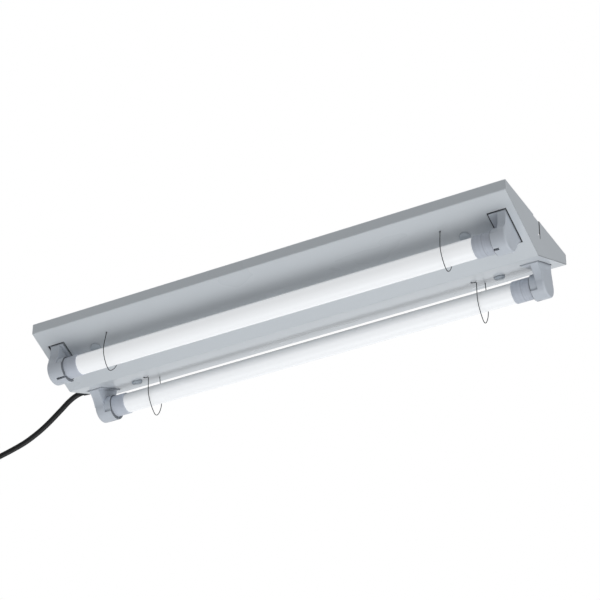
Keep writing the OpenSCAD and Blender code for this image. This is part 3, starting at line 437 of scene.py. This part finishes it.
def opal(name):
    """Milky tube wall that glows on the side of the light strip, and not towards the sheet."""
    n = Nodes(name)
    c = linear((0.80, 0.805, 0.81))
    long = n.scaled((0.3, 1, 1))
    colour = n.ramp(n.noise(24, 3, long), [(0.3, shade(c, 0.985)), (0.7, shade(c, 1.0))])
    normal = n.bump(n.noise(60, 2, long), 0.06, 0.00003)
    parts = n.add("ShaderNodeSeparateXYZ")
    n.link(n.coord.outputs["Object"], parts.inputs[0])
    across = n.math("SUBTRACT", n.math("ABSOLUTE", parts.outputs["Y"]), LAMP_Y)
    down = n.math("SUBTRACT", LAMP_Z, parts.outputs["Z"])
    away = n.math("ADD", n.math("MULTIPLY", across, math.sin(SLOPE)), n.math("MULTIPLY", down, math.cos(SLOPE)))
    glow = n.range(away, GLOW_NEAR, GLOW_FAR, GLOW_FROM, GLOW_TO)
    return n.set(
        Base_Color=colour, Roughness=n.range(n.noise(30, 2, long), 0.20, 0.30), Normal=normal,
        Emission_Color=(0.975, 0.985, 1.0), Emission_Strength=glow, Coat_Weight=0.3, Coat_Roughness=0.08,
    )


def ribbed(name, srgb, pitch, strength, joint_shade, line=None):
    """Moulded cap with fine rings round it, in bump and in painted shade in their hollows, and on some caps one line
    of painted shade.
    """
    n = Nodes(name)
    c = linear(srgb)
    x = n.add("ShaderNodeSeparateXYZ")
    n.link(n.coord.outputs["Object"], x.inputs[0])
    along = n.math("ABSOLUTE", x.outputs["X"])
    rings = n.math("SINE", n.math("MULTIPLY", along, 2 * math.pi / pitch))
    # Painted shade: the rings are darker in their hollows
    colour = n.ramp(n.range(rings, 0, 1, -1, 1), [(0.0, shade(c, 1 - 0.16 * strength)), (1.0, shade(c, 1.02))])
    colour = n.mix(n.range(n.noise(200, 3), 0, 0.25), colour, shade(c, 0.93))
    # Painted shade: one dark line round the cap where asked
    if line:
        off = n.math("ABSOLUTE", n.math("SUBTRACT", along, line))
        colour = n.mix(n.range(off, 0.35, 0.0, 0.0002, 0.0006), colour, shade(c, 0.45))
    # Painted shade in joints and round the collars
    colour = joint_shade_lines(n, occlusion_shade(n, colour, JOINT_SHADE_REACH, joint_shade), COLLARS)
    normal = n.bump(rings, strength, 0.00005, 0.0003)
    return n.set(Base_Color=colour, Roughness=n.range(n.noise(90, 3), 0.38, 0.5), Normal=normal)


def rubber(name, srgb, rough):
    """Black sheath: soft satin, with dust in the grain."""
    n = Nodes(name)
    c = linear(srgb)
    colour = n.ramp(n.noise(350, 4), [(0.35, shade(c, 0.8)), (0.72, shade(c, 1.5))])
    normal = n.bump(n.noise(1500, 2), 0.25, 0.00003)
    gloss = n.range(n.noise(120, 3), rough * 0.85, rough * 1.15)
    return n.set(Base_Color=colour, Roughness=gloss, Normal=normal)


# After a name and a colour, plain takes the roughness, the drift of the colour and its scale, the scale and depth of
# the grain, its strength, the width of an eased edge, and the metal
M = {
    # The reflector: painted shade on the back of its slopes and round the wire holes; the end plates: painted shade
    # at the knock-out slit
    "reflector": enamel(
        "white_enamel", (0.845, 0.862, 0.878), 0.30, 0.0004, back_shade=(0.60, 0.61, 0.62), hole_shade=(0.16, 0.17, 0.18)
    ),
    "plate": enamel("plate_enamel", (0.835, 0.850, 0.866), 0.34, 0.0003, slit_shade=(0.07, 0.07, 0.075)),
    "frame": galvanised("galvanised_sheet"),
    "zinc": scratched("zinc_plate", (0.74, 0.74, 0.72), 0.32),
    # Holders: painted shade in joints, in wide corners and in lines round the collars
    "holder": plain(
        "holder_plastic", (0.82, 0.84, 0.87), 0.38, 0.02, 70, 1300, 0.00002, 0.25, 0.0005,
        joint_shade=0.6, corner_shade=0.35, lines=COLLARS,
    ),
    "rotor": plain("rotor_plastic", (0.86, 0.87, 0.88), 0.35, 0.02, 70, 1300, 0.00002, 0.25, 0.0003),
    "brass": scratched("contact_brass", (0.70, 0.58, 0.36), 0.35),
    "tube": opal("opal_tube"),
    # Caps: painted shade in their rings and joints, and on the right-hand caps one line of painted shade
    "cap_left": ribbed("cap_smooth", (0.82, 0.84, 0.88), 0.0125, 0.04, 0.25),
    "cap_right": ribbed("cap_ringed", (0.80, 0.82, 0.86), 0.0052, 0.25, 0.75, 0.2788),
    "pin": scratched("pin_brass", (0.84, 0.76, 0.58), 0.22),
    "board": plain("strip_board", (0.92, 0.92, 0.90), 0.35, 0.02, 90, 900, 0.00001, 0.2, 0.0001),
    "chip": plain("led_chip", (0.95, 0.88, 0.52), 0.25, 0.05, 400, 1500, 0.00001, 0.2, 0.0001),
    "driver": plain("driver_board", (0.12, 0.36, 0.20), 0.4, 0.12, 260, 900, 0.00002, 0.3, 0.0001),
    "wire": scratched("wire_steel", (0.23, 0.24, 0.25), 0.4, (300, 300, 300)),
    # Painted shade: the saddles are dark grey, so the gaps round the holders read dark
    "saddle": plain("saddle_steel", (0.15, 0.15, 0.155), 0.45, 0.15, 200, 1200, 0.00002, 0.3, 0.0003, 0.4),
    # Knobs: painted shade near other surfaces and in wide corners
    "knob": plain(
        "knob_plastic", (0.79, 0.82, 0.85), 0.30, 0.02, 80, 1500, 0.00002, 0.2, 0.0003, joint_shade=0.9, corner_shade=0.3
    ),
    "terminal": plain("terminal_plastic", (0.90, 0.89, 0.84), 0.4, 0.03, 90, 1200, 0.00002, 0.3, 0.0003),
    "lead": plain("lead_insulation", (0.86, 0.86, 0.84), 0.35, 0.03, 90, 1200, 0.00001, 0.2),
    "bush": rubber("bush_rubber", (0.13, 0.13, 0.14), 0.5),
    "cord": rubber("cord_sheath", (0.03, 0.03, 0.034), 0.5),
    "tie": plain("tie_strap", (0.16, 0.16, 0.17), 0.6, 0.2, 500, 2500, 0.00005, 0.8, 0.0003),
    "plug": rubber("plug_moulding", (0.12, 0.12, 0.13), 0.45),
    "blade": scratched("blade_brass", (0.84, 0.77, 0.60), 0.25, (900, 900, 60)),
}


# Materials by the start of a node's name, the more exact names first, and by its end for what is in a lamp
STARTS = [
    ("reflector", "reflector"), ("end_plate", "plate"), ("chassis", "frame"), ("saddle_rivets", "zinc"),
    ("saddle", "saddle"), ("holder_screws", "zinc"), ("holder_leads", "lead"), ("holder", "holder"),
    ("contacts", "brass"), ("rotor", "rotor"), ("guard_wire", "wire"), ("knob", "knob"),
    ("terminal_screws", "zinc"), ("terminal_block", "terminal"), ("earth_screw", "zinc"), ("cord_clamp", "zinc"),
    ("clamp_screw", "zinc"), ("cord_bush", "bush"), ("inner_lead", "cord"), ("mains_cord", "cord"),
    ("cord_coil", "cord"), ("coil_tie", "tie"), ("plug_body", "plug"), ("plug_blades", "blade"),
]
ENDS = [
    ("_tube", "tube"), ("_cap_left", "cap_left"), ("_cap_right", "cap_right"), ("_pins", "pin"),
    ("_led_board", "board"), ("_led_chips", "chip"), ("_driver", "driver"),
]


def material_for(n):
    for start, key in STARTS:
        if n.startswith(start):
            return M[key]
    for end, key in ENDS:
        if n.endswith(end):
            return M[key]
    raise RuntimeError("no material for " + n)


for name, o in nodes.items():
    o.data.materials.clear()
    o.data.materials.append(material_for(name))

# Mains cord: the free length, then the tied coil, on one line
CORD_R = 3.5
ROUTE = [
    (-342, 60, -16.5), (-350, 60, -17.5), (-358, 60, -20.5), (-366, 60, -25.5),
    (-377, 60, -34.5), (-395, 60, -48.5), (-410, 60, -58), (-429, 60, -67),
    (-449, 60, -73), (-468, 60, -77.5), (-482, 60, -81), (-497, 60, -88),
    (-508, 60, -99), (-514, 60, -113), (-516, 60, -130), (-516, 60, -148),
]
COIL_START = Vector((-516, 60, -155))
TURNS, COIL_R, PITCH, LAYER, CLIMB = 5, 48, 7.6, 7.6, 0.5


def coil_point(t):
    """A point of the coil after t turns: inwards for the first half, and outwards in the next layer."""
    r = COIL_R - PITCH * min(t, TURNS - t)
    x = LAYER * min(1, max(0, (t - TURNS / 2 + CLIMB / 2) / CLIMB))
    c = COIL_START - Vector((0, COIL_R, 0))
    a = 2 * math.pi * t
    return c + Vector((-x, r * math.cos(a), -r * math.sin(a)))


PER_TURN = 72
loop = [coil_point(i / PER_TURN) for i in range(TURNS * PER_TURN + 1)]
tail = [loop[-1] - Vector((0, 0, 7)), loop[-1] - Vector((0, 0, 28))]
cord_path = smooth(ROUTE, 6) + loop + tail
cord = curve_tube("mains_lead", [cord_path], CORD_R, "fixture", M["cord"], 5)
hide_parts("mains_cord", "cord_coil")

inner = rounded(
    [ROUTE[0], (-310, 60, -16.5), (-262, 22, -8), (-200, 22, -8)],
    [0, 28, 28, 0],
    12,
)
inner_lead = curve_tube("inner_lead_sheath", [inner], CORD_R, "fixture", M["cord"], 5)
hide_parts("inner_lead")


def loft(name, rings, closed, mat):
    """A skin over rings of points, closed into a loop or capped at both ends."""
    bm = bmesh.new()
    made = [[bm.verts.new(Vector(q) * MM) for q in ring] for ring in rings]
    count = len(rings[0])
    for a, b in zip(made, made[1:] + ([made[0]] if closed else [])):
        for i in range(count):
            j = (i + 1) % count
            bm.faces.new((a[i], a[j], b[j], b[i]))
    if not closed:
        bm.faces.new(made[0])
        bm.faces.new(made[-1])
    return mesh_piece(name, bm, "fixture", [mat], 40)


def section(centre, half_x, half_y, power, count=48):
    """A level ring of points: round at power 2, and squarer as the power grows."""
    out = []
    for i in range(count):
        a = 2 * math.pi * i / count
        c, s = math.cos(a), math.sin(a)
        x = half_x * math.copysign(abs(c) ** (2 / power), c)
        y = half_y * math.copysign(abs(s) ** (2 / power), s)
        out.append(centre + Vector((x, y, 0)))
    return out


def groove(at, half_x, half_y, power, depth, side, floor):
    """Four stations that make a groove, from its distance down, its depth, its sides' height and its floor's."""
    full, deep = (half_x, half_y, power), (half_x - depth, half_y - depth, power)
    return [(at, *full), (at + side, *deep), (at + side + floor, *deep), (at + 2 * side + floor, *full)]


# Plug: stations at a distance below its top, with half the width in X and in Y, and the power of the section
PLUG_TOP = Vector((-523.6, 60, -183))
NECK_GROOVES, GRIP_GROOVES = 5, 5
stations = [(0, 4.0, 4.0, 2), (0.6, 4.4, 4.4, 2)]
for k in range(NECK_GROOVES):
    stations += groove(1.6 + 2.4 * k, 4.45 + 0.15 * k, 4.45 + 0.15 * k, 2, 0.7, 0.3, 0.7)
stations += [
    (13.6, 5.2, 5.2, 2), (14.0, 5.2, 6.6, 3), (14.6, 5.7, 7.6, 4),
    (18, 6.7, 9.7, 5), (22, 7.3, 11.9, 6), (24, 7.5, 12.4, 6),
]
for k in range(GRIP_GROOVES):
    stations += groove(26.5 + 3.2 * k, 7.5, 12.5, 6, 0.4, 0.4, 1.0)
stations += [(44, 7.5, 12.5, 6), (46.5, 7.4, 12.3, 6), (47.6, 6.9, 11.7, 6), (48, 6.2, 11.0, 6)]
rings = [section(PLUG_TOP - Vector((0, 0, d)), hx, hy, power) for d, hx, hy, power in stations]
plug = loft("plug_moulding", rings, False, M["plug"])
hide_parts("plug_body")


def band(low, high, r, count=6):
    """A rounded rectangle in X and Z, from its two corners."""
    corners = (
        (high[0] - r, high[1] - r, 0), (low[0] + r, high[1] - r, 90),
        (low[0] + r, low[1] + r, 180), (high[0] - r, low[1] + r, 270),
    )
    out = []
    for cx, cz, start in corners:
        for k in range(count + 1):
            a = math.radians(start + 90 * k / count)
            out.append(Vector((cx + r * math.cos(a), 0, cz + r * math.sin(a))))
    return out


# Tie: a strap round the coil between two lines, with eased edges, and its buckle on top
STRAP_FROM, STRAP_TO, STRAP_EASE = 6, 18, 0.4
rings = []
for inner, outer in zip(band((-528, -128.5), (-511.6, -104.5), 3.4), band((-529.5, -130), (-510.1, -103), 4.9)):
    near, far = inner.lerp(outer, 0.3), inner.lerp(outer, 0.7)
    ring = [
        (inner, STRAP_FROM + STRAP_EASE), (inner, STRAP_TO - STRAP_EASE), (near, STRAP_TO), (far, STRAP_TO),
        (outer, STRAP_TO - STRAP_EASE), (outer, STRAP_FROM + STRAP_EASE), (far, STRAP_FROM), (near, STRAP_FROM),
    ]
    rings.append([Vector((p.x, y, p.z)) for p, y in ring])
strap = loft("tie_strap", rings, True, M["tie"])
BUCKLE_AT = (-519.8, 12)
BUCKLE = [(-103.6, 2.6, 7.2), (-103.2, 2.9, 7.5), (-100.7, 2.9, 7.5), (-100.1, 2.6, 7.2), (-99.95, 2.2, 6.8)]
rings = [section(Vector((*BUCKLE_AT, z)), hx, hy, 5, 32) for z, hx, hy in BUCKLE]
buckle = loft("tie_buckle", rings, False, M["tie"])
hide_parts("coil_tie")

# Leads from the terminal block: start, the lane they run in, its height, and the end at the holder
LEADS = [
    ((-190, 8, -7.5), -37, -7.5, (-302.8, -41.112, -28.355)),
    ((-170, 8, -7.5), -37, -7.5, (302.8, -41.112, -28.355)),
    ((-190, 32, -3.5), 39.2, -3.5, (-302.8, 41.112, -28.355)),
    ((-170, 32, -3.5), 39.2, -3.5, (302.8, 41.112, -28.355)),
]
runs = [rounded([a, (a[0], lane, z), (end[0], lane, z), end], [0, 6, 6, 0], 8) for a, lane, z, end in LEADS]
leads = curve_tube("holder_lead_runs", runs, 1.1, "fixture", M["lead"], 4)
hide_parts("holder_leads")

# Guard wires: one bent wire each, on the same line as the model
WIRE_R, SWING = 0.5, {1: 7.5, 2: 3.2}


def wire_line():
    """The wire at rest: the hook at one hole, the bow under the lamp and the end in the other hole."""
    hook = rounded(
        [(-JOG, S_IN - 4, BACK), (-JOG, S_IN, BACK), (-JOG, S_IN, 1), (0, S_IN, 1), (0, S_IN - 0.5, 4)],
        [0, 0.8, 0.8, 1, 0],
        5,
    )
    bow = smooth(
        [
            (0, S_IN - 0.5, 4), (0, LAMP_S - 15, 25.2), (0, LAMP_S - 7.2, 47.2),
            (0, LAMP_S + 3.7, 47.2), (0, LAMP_S + 15.3, 32.1), (0, S_OUT, 1),
        ],
        12,
    )
    last = rounded([(0, S_OUT, 1), (0, S_OUT, BACK), (0, S_OUT + 4, BACK)], [0, 0.8, 0], 5)
    return hook[:-1] + bow + last[1:]


for row, swing in SWING.items():
    for side, end in ((-1, "left"), (1, "right")):
        x0 = (-side if row == 1 else side) * WIRE_X
        pivot = Vector((x0 - JOG, S_IN, 0.4))
        turned = Matrix.Rotation(math.radians(swing), 3, Vector((JOG, S_OUT - S_IN, 0)))
        path = []
        for q in wire_line():
            v = pivot + turned @ (Vector((x0 + q[0], q[1], -q[2])) - pivot)
            path.append(slope_point(row, v.x, v.y, v.z))
        o = curve_tube(f"guard_{row}_{end}", [path], WIRE_R, f"wire_{row}_{end}", M["wire"], 3)
        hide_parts(f"guard_wire_{row}_{end}")

# Light: a soft key from below, weaker light from the sides and above, and white behind for the camera
world = bpy.data.worlds.new("studio")
scene.world = world
world.use_nodes = True
tree = world.node_tree
tree.nodes.clear()


def wnode(kind, inputs=None, **values):
    n = tree.nodes.new(kind)
    for k, v in values.items():
        setattr(n, k, v)
    for k, v in (inputs or {}).items():
        if isinstance(v, bpy.types.NodeSocket):
            tree.links.new(v, n.inputs[k])
        else:
            n.inputs[k].default_value = v
    return n


aim = wnode("ShaderNodeTexCoord").outputs["Generated"]


def lobe(direction, inner, outer, strength):
    """A soft round patch of light: full within inner degrees, gone at outer degrees."""
    d = Vector(direction).normalized()
    dot = wnode("ShaderNodeVectorMath", {0: aim, 1: tuple(d)}, operation="DOT_PRODUCT")
    return wnode(
        "ShaderNodeMapRange",
        {
            "Value": dot.outputs["Value"], "From Min": math.cos(math.radians(outer)),
            "From Max": math.cos(math.radians(inner)), "To Min": 0.0, "To Max": strength,
        },
        interpolation_type="SMOOTHSTEP",
    ).outputs["Result"]


# Direction, the angles from it in degrees that are full and dark, and the strength
AMBIENT = 0.267
LOBES = [
    ((0.0, 0.0, -1.0), 6, 32, 1.80),
    ((0.8, 0.0, -1.0), 6, 36, 0.83),
    ((1.0, 0.0, -0.2), 6, 45, 0.66),
    ((-0.4, 1.0, 0.1), 6, 36, 0.50),
    ((0.0, -1.0, -0.35), 6, 40, 0.24),
    ((0.0, 1.0, -0.7), 6, 36, 0.25),
    ((-1.0, 0.0, -0.45), 6, 45, 0.17),
    ((0.0, 0.0, 1.0), 0, 50, 1.30),
]
total = AMBIENT
for args in LOBES:
    total = wnode("ShaderNodeMath", {0: total, 1: lobe(*args)}, operation="ADD").outputs[0]
light = wnode("ShaderNodeBackground", {"Color": (0.955, 0.98, 1.0, 1), "Strength": total})
back = wnode("ShaderNodeBackground", {"Color": (1, 1, 1, 1), "Strength": 1.0})
seen = wnode("ShaderNodeLightPath").outputs["Is Camera Ray"]
mixer = wnode("ShaderNodeMixShader", {0: seen, 1: light.outputs[0], 2: back.outputs[0]})
wnode("ShaderNodeOutputWorld", {"Surface": mixer.outputs[0]})
scene.view_settings.view_transform = "Standard"
